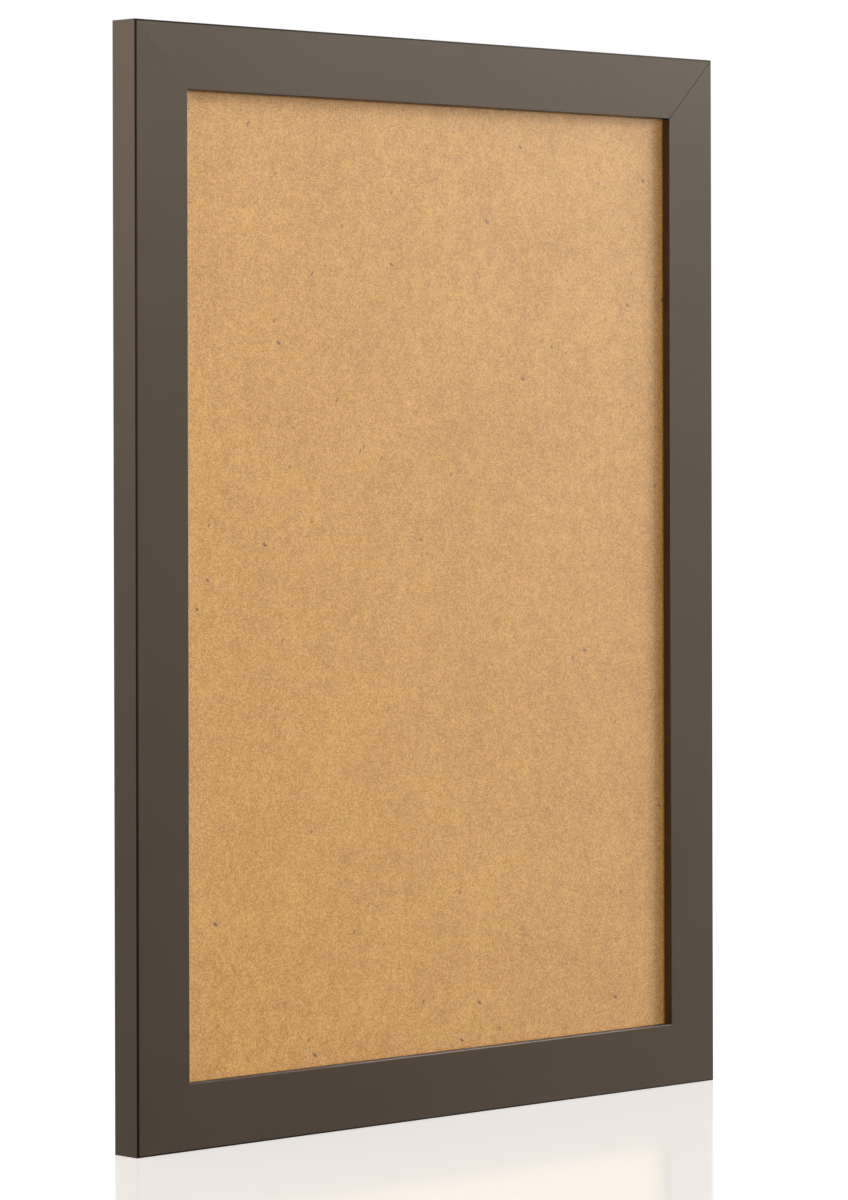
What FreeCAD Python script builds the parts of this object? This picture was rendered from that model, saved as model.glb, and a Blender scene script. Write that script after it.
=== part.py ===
# A flat wrapped moulding frame for one A3 sheet, standing upright on its bottom edge.
#
# The frame is four mitred lengths of one rebated moulding, held at each corner by two V-nails
# driven in from the back. The glazing lies against the lip of the moulding, the backboard lies
# against the glazing, and flexible steel tabs stuck in the rebate wall hold both in. Each tab
# bends at the wall, so its free leaf turns up when the backboard is taken out. A strap hanger
# with a swinging D-ring is screwed to the back of each stile.
#
# X runs to the right as seen from the front, Y from the front to the back and Z up. The origin
# is the middle of the bottom edge, halfway through the depth of the moulding.
import FreeCAD, Part
import math
import os
from typing import NamedTuple
import Sketcher

# Driving dimensions, in millimetres.
SIZES = {
    # The picture sheet. Glazing and backboard are cut to it.
    "sheet_width": 297.0,
    "sheet_height": 420.0,
    # Gap between each side of the sheet and the rebate wall beside it.
    "sheet_gap": 1.0,
    # How far the lip covers the sheet along each edge.
    "lip_overlap": 5.0,
    "glazing_thickness": 2.0,
    "board_thickness": 2.5,
    # The moulding.
    "face_width": 28.0,
    "moulding_depth": 15.0,
    "lip_thickness": 4.0,
    "arris_radius": 0.8,
    "back_arris_radius": 0.5,
    # V-nails.
    "nail_wing": 5.0,
    "nail_hook": 1.2,
    "nail_thickness": 0.4,
    "nail_height": 8.0,
    # Flexible tabs.
    "tab_width": 6.0,
    "tab_thickness": 0.5,
    "tab_reach": 8.0,
    "tab_bite": 7.0,
    "tab_point": 3.0,
    "tab_tip_clip": 1.4,
    "bend_standoff": 0.5,
    "bend_gap": 0.03,
    "tab_seat_gap": 0.1,
    # Strap hangers. The drop is measured from the top edge to the middle of the ring. The eye
    # lies its setback from the rebate wall, and the strap ends its margin from the outer edge.
    "hanger_drop": 140.0,
    "eye_setback": 2.0,
    "strap_margin": 2.5,
    "strap_width": 8.0,
    "strap_thickness": 0.8,
    "strap_end_radius": 3.5,
    "strap_hole_radius": 2.0,
    "eye_clearance": 0.08,
    "wire_radius": 1.0,
    "ring_side_gap": 0.3,
    "ring_corner_radius": 1.7,
    "ring_leg": 3.0,
    # Hanger screws.
    "screw_radius": 1.5,
    "screw_length": 12.0,
    "head_radius": 3.0,
    "head_height": 1.8,
    "pilot_clearance": 0.02,
    # How far a cutting outline runs past the solid that it cuts.
    "overrun": 2.0,
}

# Angle between the slanted part of the folded strap and its flat part, in degrees.
STRAP_SLOPE = 45.0

# Tabs along a rail or a stile, as shares of the rebate's length from its middle.
RAIL_TAB_SHARES = (-0.27, 0.27)
STILE_TAB_SHARES = (-0.34, 0.0, 0.34)

# Apexes of the outer and the inner V-nail of a corner, as shares of the land's width.
NAIL_SHARES = (0.23, 0.57)

# The hanger's screw, as a share of the strap's length from the eye.
SCREW_SHARE = 0.6

# Tolerance for finding edges, well under any size.
TINY = 1e-4

ALONG_X = FreeCAD.Vector(1, 0, 0)
ALONG_Y = FreeCAD.Vector(0, 1, 0)
ALONG_Z = FreeCAD.Vector(0, 0, 1)


class Seat(NamedTuple):
    """Where a piece's origin lies, as shares of the outer size, and its turn about Y in degrees.

    The share across is measured from the middle and the share up from the bottom.
    """

    turn: float
    across_share: float
    up_share: float


# Middles of the outer edges, where the four members have their origins.
MEMBER_SEATS = {
    "bottom_rail": Seat(turn=0.0, across_share=0.0, up_share=0.0),
    "left_stile": Seat(turn=90.0, across_share=-0.5, up_share=0.5),
    "top_rail": Seat(turn=180.0, across_share=0.0, up_share=1.0),
    "right_stile": Seat(turn=-90.0, across_share=0.5, up_share=0.5),
}

# The outer corners, where the V-nails have their origins.
CORNER_SEATS = {
    "bottom_left": Seat(turn=0.0, across_share=-0.5, up_share=0.0),
    "top_left": Seat(turn=90.0, across_share=-0.5, up_share=1.0),
    "top_right": Seat(turn=180.0, across_share=0.5, up_share=1.0),
    "bottom_right": Seat(turn=-90.0, across_share=0.5, up_share=0.0),
}


class Size:
    """A length in millimetres, with the spreadsheet expression that gives it."""

    def __init__(self, value, text):
        self.value = value
        self.text = text

    def joined(self, sign, other, value):
        """The Size of a sum or product whose value is already worked out."""
        text = other.text if isinstance(other, Size) else repr(other)
        return Size(value, f"({self.text} {sign} {text})")

    def __add__(self, other):
        return self.joined("+", other, self.value + plain(other))

    def __sub__(self, other):
        return self.joined("-", other, self.value - plain(other))

    def __mul__(self, other):
        return self.joined("*", other, self.value * plain(other))

    def __truediv__(self, other):
        return self.joined("/", other, self.value / plain(other))

    def __neg__(self):
        return Size(-self.value, f"(-1 * {self.text})")


def plain(length):
    """The number behind a Size, or the number itself."""
    return length.value if isinstance(length, Size) else length


def bind(thing, name, length):
    """Ties a property or a named sketch constraint to the spreadsheet."""
    if isinstance(length, Size):
        thing.setExpression(name, length.text)


doc = FreeCAD.newDocument("picture_frame")
sheet = doc.addObject("Spreadsheet::Sheet", "Sizes")
named = {}
for row, (alias, number) in enumerate(SIZES.items(), start=1):
    sheet.set(f"A{row}", alias)
    sheet.set(f"B{row}", str(number))
    sheet.setAlias(f"B{row}", alias)
    named[alias] = Size(number, f"Sizes.{alias}")
doc.recompute()

ZERO = Size(0.0, "0")

# Sizes that follow from the driving dimensions.
rebate_width = named["lip_overlap"] + named["sheet_gap"]
land_width = named["face_width"] - rebate_width
outer_width = named["sheet_width"] - named["lip_overlap"] * 2 + named["face_width"] * 2
outer_height = named["sheet_height"] - named["lip_overlap"] * 2 + named["face_width"] * 2
front_y = -(named["moulding_depth"] / 2)
back_y = named["moulding_depth"] / 2
lip_y = front_y + named["lip_thickness"]
glazing_back_y = lip_y + named["glazing_thickness"]
board_back_y = glazing_back_y + named["board_thickness"]
tab_y = board_back_y + named["tab_seat_gap"] + named["tab_thickness"] / 2
hanger_z = outer_height - named["hanger_drop"]
eye_inset = land_width - named["eye_setback"]
strap_length = eye_inset - named["strap_margin"]
screw_inset = eye_inset - strap_length * SCREW_SHARE
ring_straight = named["strap_width"] / 2 + named["ring_side_gap"]
ring_half_width = ring_straight + named["ring_corner_radius"]
bow_x = named["ring_corner_radius"] + named["ring_leg"]
eye_inner_radius = named["wire_radius"] + named["eye_clearance"]
eye_outer_radius = eye_inner_radius + named["strap_thickness"]


def new_body(label):
    """An empty body, whose label names its file."""
    body = doc.addObject("PartDesign::Body", label)
    body.Label = label
    return body


def new_sketch(body, name, plane, offset=None):
    """A sketch on one of the body's own origin planes, moved along that plane's normal by offset.

    Sketches on XZ_Plane have the normal -Y, so there the offset is minus the Y they lie at.
    """
    sketch = body.newObject("Sketcher::SketchObject", name)
    support = [f for f in body.Origin.OriginFeatures if f.Role == plane][0]
    sketch.AttachmentSupport = (support, [""])
    sketch.MapMode = "FlatFace"
    if offset is not None:
        bind(sketch, "AttachmentOffset.Base.z", offset)
    return sketch


def fix_point(sketch, geometry, vertex, across, up):
    """Ties one vertex of the sketch to a place measured from the sketch's origin."""
    for kind, length in (("DistanceX", across), ("DistanceY", up)):
        number = sketch.addConstraint(
            Sketcher.Constraint(kind, -1, 1, geometry, vertex, plain(length))
        )
        name = f"{kind}_{number}"
        sketch.renameConstraint(number, name)
        bind(sketch, f"Constraints.{name}", length)


def draw_outline(sketch, corners):
    """A closed outline of straight lines through the corners, each a pair of Sizes."""
    points = [FreeCAD.Vector(plain(across), plain(up), 0) for across, up in corners]
    first = sketch.GeometryCount
    count = len(points)
    for number in range(count):
        sketch.addGeometry(Part.LineSegment(points[number], points[(number + 1) % count]))
    for number, (across, up) in enumerate(corners):
        previous = first + (number - 1) % count
        sketch.addConstraint(Sketcher.Constraint("Coincident", previous, 2, first + number, 1))
        fix_point(sketch, first + number, 1, across, up)


def draw_circle(sketch, across, up, radius):
    """A circle with its centre and radius tied to Sizes."""
    centre = FreeCAD.Vector(plain(across), plain(up), 0)
    circle = sketch.addGeometry(Part.Circle(centre, FreeCAD.Vector(0, 0, 1), plain(radius)))
    fix_point(sketch, circle, 3, across, up)
    number = sketch.addConstraint(Sketcher.Constraint("Radius", circle, plain(radius)))
    sketch.renameConstraint(number, f"Radius_{number}")
    bind(sketch, f"Constraints.Radius_{number}", radius)


def add_pad(body, sketch, length, symmetric=False):
    """Pads the sketch along its normal, or to both sides of its plane."""
    pad = body.newObject("PartDesign::Pad", sketch.Name + "_pad")
    pad.Profile = sketch
    pad.SideType = "Symmetric" if symmetric else "One side"
    pad.Length = length.value
    bind(pad, "Length", length)
    return pad


def add_pocket(body, sketch, length=None, symmetric=False, along_normal=False):
    """Cuts the sketch out of the body, right through it where no length is given."""
    doc.recompute()
    before = body.Shape.Volume
    pocket = body.newObject("PartDesign::Pocket", sketch.Name + "_pocket")
    pocket.Profile = sketch
    pocket.SideType = "Symmetric" if symmetric else "One side"
    pocket.Reversed = along_normal
    if length is None:
        pocket.Type = "ThroughAll"
    else:
        pocket.Length = length.value
        bind(pocket, "Length", length)
    doc.recompute()
    if not body.Shape.Volume < before:
        raise ValueError(f"{pocket.Name} cuts nothing")
    return pocket


def add_fillet(body, base, names, radius):
    """Rounds the named edges of a feature."""
    fillet = body.newObject("PartDesign::Fillet", f"{base.Name}_fillet")
    fillet.Base = (base, names)
    bind(fillet, "Radius", radius)
    body.Tip = fillet
    doc.recompute()
    return fillet


def edges_at(feature, direction, places):
    """Names of the straight edges along a direction whose middle lies at one of the places.

    A place gives the two other coordinates, in the order of X, Y and Z.
    """
    found = []
    for number, edge in enumerate(feature.Shape.Edges, start=1):
        if len(edge.Vertexes) != 2:
            continue
        run = (edge.Vertexes[1].Point - edge.Vertexes[0].Point).normalize()
        if abs(abs(run.dot(direction)) - 1) > TINY:
            continue
        middle = edge.CenterOfMass
        across = [c for c, d in zip(middle, direction) if abs(d) < TINY]
        for spot in places:
            if all(abs(a - plain(b)) < TINY for a, b in zip(across, spot)):
                found.append(f"Edge{number}")
    if len(found) < len(places):
        raise ValueError(f"{feature.Name} has {len(found)} of {len(places)} edges to dress")
    return found


def place(body, turn, across=ZERO, depth=ZERO, up=ZERO):
    """Turns the body about Y, in degrees, and moves its origin."""
    body.Placement = FreeCAD.Placement(
        FreeCAD.Vector(across.value, depth.value, up.value),
        FreeCAD.Rotation(ALONG_Y, turn),
    )
    for axis, length in (("x", across), ("y", depth), ("z", up)):
        bind(body, f"Placement.Base.{axis}", length)


def place_at(body, seat):
    """Places a body on its seat."""
    place(body, seat.turn, outer_width * seat.across_share, ZERO, outer_height * seat.up_share)


def nail_outline(setback):
    """One V-nail seen from the back, with the frame's outer corner at the origin.

    The apex lies on the mitre line, and each wing runs along one member to a hooked end.
    """
    tip = setback + named["nail_wing"]
    inner = setback + named["nail_thickness"]
    hook = setback - named["nail_hook"]
    hook_back = tip - named["nail_thickness"]
    return [
        (setback, setback),
        (hook_back, setback),
        (hook_back, hook),
        (tip, hook),
        (tip, inner),
        (inner, inner),
        (inner, tip),
        (hook, tip),
        (hook, hook_back),
        (setback, hook_back),
    ]


def corner_outlines():
    """Both nails of a corner."""
    return [nail_outline(land_width * share) for share in NAIL_SHARES]


def anchor_outline(middle, wall):
    """The rooted half of a tab, pointed where it enters the wood.

    The middle is where it lies along the member, and the wall is how far up the rebate wall is.
    """
    half = named["tab_width"] / 2
    bend = wall + named["bend_standoff"]
    top = bend - named["tab_thickness"] / 2 - named["bend_gap"]
    point = wall - named["tab_bite"]
    shoulder = point + named["tab_point"]
    return [
        (middle - half, top),
        (middle - half, shoulder),
        (middle, point),
        (middle + half, shoulder),
        (middle + half, top),
    ]


def moulding_member(label, length, rebate_length, tab_shares, screw_side=None):
    """One mitred member, lying along X with its outer edge on the XY plane and facing -Y."""
    body = new_body(label)
    profile = new_sketch(body, label + "_profile", "YZ_Plane")
    draw_outline(
        profile,
        [
            (front_y, ZERO),
            (front_y, named["face_width"]),
            (lip_y, named["face_width"]),
            (lip_y, land_width),
            (back_y, land_width),
            (back_y, ZERO),
        ],
    )
    run = add_pad(body, profile, length, symmetric=True)
    doc.recompute()
    arrises = edges_at(run, ALONG_X, [(front_y, ZERO), (front_y, named["face_width"])])
    rounded = add_fillet(body, run, arrises, named["arris_radius"])
    back_arris = edges_at(rounded, ALONG_X, [(back_y, ZERO)])
    add_fillet(body, rounded, back_arris, named["back_arris_radius"])

    mitres = new_sketch(body, label + "_mitres", "XZ_Plane")
    end = length / 2
    for side in (-1, 1):
        outside = (end + named["overrun"]) * side
        inside = (end - named["face_width"] - named["overrun"]) * side
        above = named["face_width"] + named["overrun"]
        draw_outline(mitres, [(outside, -named["overrun"]), (outside, above), (inside, above)])
    add_pocket(body, mitres, symmetric=True)

    nails = new_sketch(body, label + "_nail_slots", "XZ_Plane", -back_y)
    for side in (-1, 1):
        for outline in corner_outlines():
            draw_outline(nails, [((end - across) * side, up) for across, up in outline])
    add_pocket(body, nails, named["nail_height"], along_normal=True)

    slots = new_sketch(body, label + "_tab_slots", "XZ_Plane", -tab_y)
    for share in tab_shares:
        draw_outline(slots, anchor_outline(rebate_length * share, land_width))
    add_pocket(body, slots, named["tab_thickness"], symmetric=True)

    if screw_side is not None:
        pilot = new_sketch(body, label + "_pilot", "XZ_Plane", -back_y)
        across = (hanger_z - outer_height / 2) * screw_side
        draw_circle(pilot, across, screw_inset, named["screw_radius"] + named["pilot_clearance"])
        grip = named["screw_length"] - named["strap_thickness"] * 2
        add_pocket(body, pilot, grip + named["pilot_clearance"], along_normal=True)
    place_at(body, MEMBER_SEATS[label])
    return body


def corner_nails(corner):
    """The two V-nails of one corner, flush with the back of the moulding."""
    label = f"corner_nails_{corner}"
    body = new_body(label)
    outlines = new_sketch(body, label + "_outlines", "XZ_Plane", -back_y)
    for outline in corner_outlines():
        draw_outline(outlines, outline)
    add_pad(body, outlines, named["nail_height"])
    place_at(body, CORNER_SEATS[corner])
    return body


def flat_sheet(label, near_y, thickness):
    """A sheet cut to the picture's size, standing on the wall of the bottom rebate."""
    body = new_body(label)
    half = named["sheet_width"] / 2
    top = land_width + named["sheet_height"]
    outline = new_sketch(body, label + "_outline", "XZ_Plane", -(near_y + thickness))
    draw_outline(
        outline,
        [(-half, land_width), (half, land_width), (half, top), (-half, top)],
    )
    add_pad(body, outline, thickness)
    return body


def tab_anchor(label, member, middle):
    """The half of a tab that is stuck in the rebate wall."""
    body = new_body(label)
    outline = new_sketch(body, label + "_outline", "XZ_Plane", -tab_y)
    draw_outline(outline, anchor_outline(middle, land_width))
    add_pad(body, outline, named["tab_thickness"], symmetric=True)
    place_at(body, MEMBER_SEATS[member])
    return body


def tab_leaf(label, member, middle):
    """The free half of a tab, with a round end on the bend line and clipped tip corners."""
    body = new_body(label)
    half = named["tab_width"] / 2
    clip = named["tab_tip_clip"]
    bend = land_width + named["bend_standoff"]
    tip = bend + named["tab_reach"]
    outline = new_sketch(body, label + "_outline", "XZ_Plane", -tab_y)
    draw_outline(
        outline,
        [
            (middle - half, bend),
            (middle - half, tip - clip),
            (middle - half + clip, tip),
            (middle + half - clip, tip),
            (middle + half, tip - clip),
            (middle + half, bend),
        ],
    )
    add_pad(body, outline, named["tab_thickness"], symmetric=True)
    knuckle = new_sketch(body, label + "_bend", "YZ_Plane", middle)
    draw_circle(knuckle, tab_y, bend, named["tab_thickness"] / 2)
    add_pad(body, knuckle, named["tab_width"], symmetric=True)
    place_at(body, MEMBER_SEATS[member])
    return body


def place_hanger_piece(body, side):
    """Puts a hanger piece on the back of a stile. Its X runs from the stile to the middle."""
    inset = outer_width / 2 - eye_inset
    place(body, 0.0 if side < 0 else 180.0, inset * side, back_y, hanger_z)
    return body


def hanger_strap(label, side):
    """A strip folded round the ring into an eye, with both layers pierced for the screw.

    The eye's axis is the Z axis, one outer radius off the back of the moulding, and the strip
    slants down from the eye to lie on its own lower layer.
    """
    body = new_body(label)
    lean = math.sin(math.radians(STRAP_SLOPE))
    rise = math.cos(math.radians(STRAP_SLOPE))
    fall = math.tan(math.radians(STRAP_SLOPE))
    layer = named["strap_thickness"]
    eye_y = eye_outer_radius
    end_x = -strap_length

    outer_x = -(eye_outer_radius * lean)
    outer_y = eye_y + eye_outer_radius * rise
    shoulder_x = outer_x - (outer_y - layer * 2) / fall
    side_view = new_sketch(body, label + "_side", "XY_Plane")
    draw_outline(
        side_view,
        [
            (end_x, ZERO),
            (ZERO, ZERO),
            (ZERO, eye_y),
            (outer_x, outer_y),
            (shoulder_x, layer * 2),
            (end_x, layer * 2),
        ],
    )
    add_pad(body, side_view, named["strap_width"], symmetric=True)
    eye = new_sketch(body, label + "_eye", "XY_Plane")
    draw_circle(eye, ZERO, eye_y, eye_outer_radius)
    add_pad(body, eye, named["strap_width"], symmetric=True)

    bore = new_sketch(body, label + "_bore", "XY_Plane")
    draw_circle(bore, ZERO, eye_y, eye_inner_radius)
    add_pocket(body, bore, symmetric=True)
    inner_x = -(eye_inner_radius * lean)
    inner_y = eye_y + eye_inner_radius * rise
    fold_x = inner_x - (inner_y - layer) / fall
    throat = new_sketch(body, label + "_throat", "XY_Plane")
    draw_outline(throat, [(ZERO, eye_y), (inner_x, inner_y), (fold_x, layer), (ZERO, layer)])
    folded = add_pocket(body, throat, symmetric=True)

    half = named["strap_width"] / 2
    corners = edges_at(folded, ALONG_Y, [(end_x, -half), (end_x, half)])
    add_fillet(body, folded, corners, named["strap_end_radius"])
    hole = new_sketch(body, label + "_hole", "XZ_Plane")
    draw_circle(hole, -(strap_length * SCREW_SHARE), ZERO, named["strap_hole_radius"])
    add_pocket(body, hole, symmetric=True)
    return place_hanger_piece(body, side)


def hanger_ring(label, side):
    """A D of round wire, with its straight bar in the strap's eye and its bow to the middle."""
    body = new_body(label)
    width = ring_half_width
    corner = named["ring_corner_radius"]
    path = new_sketch(body, label + "_path", "XZ_Plane", -eye_outer_radius)
    lines = {}
    for name, start, stop in (
        ("bar", (ZERO, -ring_straight), (ZERO, ring_straight)),
        ("upper_leg", (corner, width), (bow_x, width)),
        ("lower_leg", (bow_x, -width), (corner, -width)),
    ):
        ends = [FreeCAD.Vector(across.value, up.value, 0) for across, up in (start, stop)]
        lines[name] = path.addGeometry(Part.LineSegment(*ends))
    arcs = {}
    for name, across, up, radius, start, stop in (
        ("upper_corner", corner, ring_straight, corner, math.pi / 2, math.pi),
        ("bow", bow_x, ZERO, width, -math.pi / 2, math.pi / 2),
        ("lower_corner", corner, -ring_straight, corner, math.pi, math.pi * 3 / 2),
    ):
        centre = FreeCAD.Vector(across.value, up.value, 0)
        circle = Part.Circle(centre, ALONG_Z, radius.value)
        arcs[name] = path.addGeometry(Part.ArcOfCircle(circle, start, stop))
    for first, first_end, second, second_end in (
        (lines["bar"], 2, arcs["upper_corner"], 2),
        (arcs["upper_corner"], 1, lines["upper_leg"], 1),
        (lines["upper_leg"], 2, arcs["bow"], 2),
        (arcs["bow"], 1, lines["lower_leg"], 1),
        (lines["lower_leg"], 2, arcs["lower_corner"], 2),
        (arcs["lower_corner"], 1, lines["bar"], 1),
    ):
        path.addConstraint(
            Sketcher.Constraint("Tangent", first, first_end, second, second_end)
        )
    path.addConstraint(Sketcher.Constraint("PointOnObject", lines["bar"], 1, -2))
    path.addConstraint(Sketcher.Constraint("Vertical", lines["bar"]))
    path.addConstraint(Sketcher.Constraint("Horizontal", lines["upper_leg"]))
    path.addConstraint(Sketcher.Constraint("Horizontal", lines["lower_leg"]))
    path.addConstraint(Sketcher.Constraint("Equal", arcs["upper_corner"], arcs["lower_corner"]))
    for name, constraint, length in (
        ("corner_radius", ("Radius", arcs["upper_corner"]), corner),
        ("upper_height", ("DistanceY", -1, 1, lines["upper_leg"], 1), width),
        ("lower_height", ("DistanceY", -1, 1, lines["lower_leg"], 1), -width),
        ("bow_middle", ("DistanceX", -1, 1, arcs["bow"], 3), bow_x),
    ):
        number = path.addConstraint(Sketcher.Constraint(*constraint, plain(length)))
        path.renameConstraint(number, name)
        bind(path, f"Constraints.{name}", length)
    wire = new_sketch(body, label + "_wire", "XY_Plane")
    draw_circle(wire, ZERO, eye_outer_radius, named["wire_radius"])
    doc.recompute()
    pipe = body.newObject("PartDesign::AdditivePipe", label + "_pipe")
    pipe.Profile = wire
    pipe.Spine = path
    return place_hanger_piece(body, side)


def hanger_screw(label, side):
    """A short screw through both layers of the strap, its axis along Y."""
    body = new_body(label)
    seat = named["strap_thickness"] * 2
    crown = seat + named["head_height"]
    end = seat - named["screw_length"]
    half = new_sketch(body, label + "_half", "XY_Plane")
    draw_outline(
        half,
        [
            (ZERO, end),
            (named["screw_radius"], end),
            (named["screw_radius"], seat),
            (named["head_radius"], seat),
            (named["head_radius"], crown),
            (ZERO, crown),
        ],
    )
    turned = body.newObject("PartDesign::Revolution", label + "_turned")
    turned.Profile = half
    turned.ReferenceAxis = (half, ["V_Axis"])
    place(body, 0.0, (outer_width / 2 - screw_inset) * side, back_y, hanger_z)
    return body


def build():
    """Makes every piece and gives them in the order in which the frame is put together."""
    rebate_length_across = named["sheet_width"] + named["sheet_gap"] * 2
    rebate_length_up = named["sheet_height"] + named["sheet_gap"] * 2
    members = {
        "bottom_rail": (outer_width, rebate_length_across, RAIL_TAB_SHARES, None),
        "left_stile": (outer_height, rebate_length_up, STILE_TAB_SHARES, -1),
        "top_rail": (outer_width, rebate_length_across, RAIL_TAB_SHARES, None),
        "right_stile": (outer_height, rebate_length_up, STILE_TAB_SHARES, 1),
    }
    pieces = []
    for label, (length, rebate_length, tab_shares, screw_side) in members.items():
        pieces.append(moulding_member(label, length, rebate_length, tab_shares, screw_side))
    for corner in CORNER_SEATS:
        pieces.append(corner_nails(corner))
    pieces.append(flat_sheet("glazing", lip_y, named["glazing_thickness"]))
    pieces.append(flat_sheet("backboard", glazing_back_y, named["board_thickness"]))
    for member, (_, rebate_length, tab_shares, _) in members.items():
        for number, share in enumerate(tab_shares, start=1):
            middle = rebate_length * share
            pieces.append(tab_anchor(f"{member}_tab_anchor_{number}", member, middle))
            pieces.append(tab_leaf(f"{member}_tab_leaf_{number}", member, middle))
    for word, side in (("left", -1), ("right", 1)):
        pieces.append(hanger_strap(f"{word}_hanger_strap", side))
        pieces.append(hanger_ring(f"{word}_hanger_ring", side))
        pieces.append(hanger_screw(f"{word}_hanger_screw", side))
    return pieces


pieces = build()
doc.recompute()
for thing in doc.Objects:
    if "Invalid" in thing.State or "Error" in thing.State:
        raise ValueError(f"{thing.Label} did not build: {thing.State}")
os.makedirs("parts", exist_ok=True)
for piece in pieces:
    shape = piece.Shape
    if shape.isNull() or not shape.isValid() or not shape.Solids:
        raise ValueError(f"{piece.Label} has no valid solid")
    shape.exportStep(f"parts/{piece.Label}.step")
    box = shape.BoundBox
    print(
        f"{piece.Label}: {len(shape.Solids)} solid, {shape.Volume:.1f} mm3,"
        f" X {box.XMin:.2f} to {box.XMax:.2f}, Y {box.YMin:.2f} to {box.YMax:.2f},"
        f" Z {box.ZMin:.2f} to {box.ZMax:.2f}"
    )
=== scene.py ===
"""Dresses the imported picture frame: finishes, fine shapes, floor, light and camera."""

import logging
import math
from dataclasses import dataclass, field
from enum import Enum, IntEnum

import bmesh
import bpy
from mathutils import Matrix, Vector


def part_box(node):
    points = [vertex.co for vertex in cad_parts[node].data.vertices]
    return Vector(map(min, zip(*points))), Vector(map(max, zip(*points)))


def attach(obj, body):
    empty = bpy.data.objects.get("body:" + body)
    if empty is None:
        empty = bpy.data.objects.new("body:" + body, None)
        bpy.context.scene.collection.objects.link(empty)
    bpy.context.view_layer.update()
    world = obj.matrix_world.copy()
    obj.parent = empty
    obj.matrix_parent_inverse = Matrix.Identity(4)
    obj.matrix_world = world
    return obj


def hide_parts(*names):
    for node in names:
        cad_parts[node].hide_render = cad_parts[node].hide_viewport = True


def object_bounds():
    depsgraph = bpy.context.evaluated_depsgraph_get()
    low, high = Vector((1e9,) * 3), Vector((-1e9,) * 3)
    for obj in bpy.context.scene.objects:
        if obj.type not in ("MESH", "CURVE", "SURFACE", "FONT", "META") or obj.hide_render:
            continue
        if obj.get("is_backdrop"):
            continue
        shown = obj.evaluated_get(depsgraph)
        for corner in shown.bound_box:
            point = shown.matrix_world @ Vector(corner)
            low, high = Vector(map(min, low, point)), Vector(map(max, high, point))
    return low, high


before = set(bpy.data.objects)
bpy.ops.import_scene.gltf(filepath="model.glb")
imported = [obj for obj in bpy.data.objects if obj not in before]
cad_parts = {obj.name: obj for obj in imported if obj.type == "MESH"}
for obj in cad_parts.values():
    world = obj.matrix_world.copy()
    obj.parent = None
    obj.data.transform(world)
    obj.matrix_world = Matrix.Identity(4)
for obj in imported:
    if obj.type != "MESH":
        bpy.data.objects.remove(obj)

log = logging.getLogger("picture_frame")

MM = 0.001
MICRON = 1e-6
IMAGE_HEIGHT = 1200
MERGE_DEGREES = 0.5
SQUARE_ON = 0.9999
REARWARD = 0.9
WHITE = (1.0, 1.0, 1.0, 1.0)

Colour = tuple[float, float, float]
Place = tuple[float, float, float]
Span = tuple[float, float]
Material = bpy.types.Material
Socket = bpy.types.NodeSocket
Value = float | tuple[float, ...] | Socket
Part = bmesh.types.BMVert | bmesh.types.BMEdge | bmesh.types.BMFace


class Side(Enum):
    """The two sides of the frame, seen from the front, as signs of x."""

    LEFT = -1
    RIGHT = 1

    @property
    def word(self) -> str:
        """The side's name as the nodes have it."""
        return self.name.lower()


class Corner(Enum):
    """The four mitred corners, as signs of x and of height from the middle."""

    TOP_LEFT = (-1, 1)
    TOP_RIGHT = (1, 1)
    BOTTOM_LEFT = (-1, -1)
    BOTTOM_RIGHT = (1, -1)


class Member(Enum):
    """The four lengths of moulding, as the turn about y that brings the bottom rail there."""

    BOTTOM_RAIL = 0
    LEFT_STILE = 90
    TOP_RAIL = 180
    RIGHT_STILE = 270

    @property
    def node(self) -> str:
        """The member's node name."""
        return self.name.lower()

    @property
    def is_rail(self) -> bool:
        """Whether the member runs from side to side."""
        return self.value % 180 == 0


TAB_COUNTS = {
    Member.BOTTOM_RAIL: 2,
    Member.LEFT_STILE: 3,
    Member.TOP_RAIL: 2,
    Member.RIGHT_STILE: 3,
}


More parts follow.
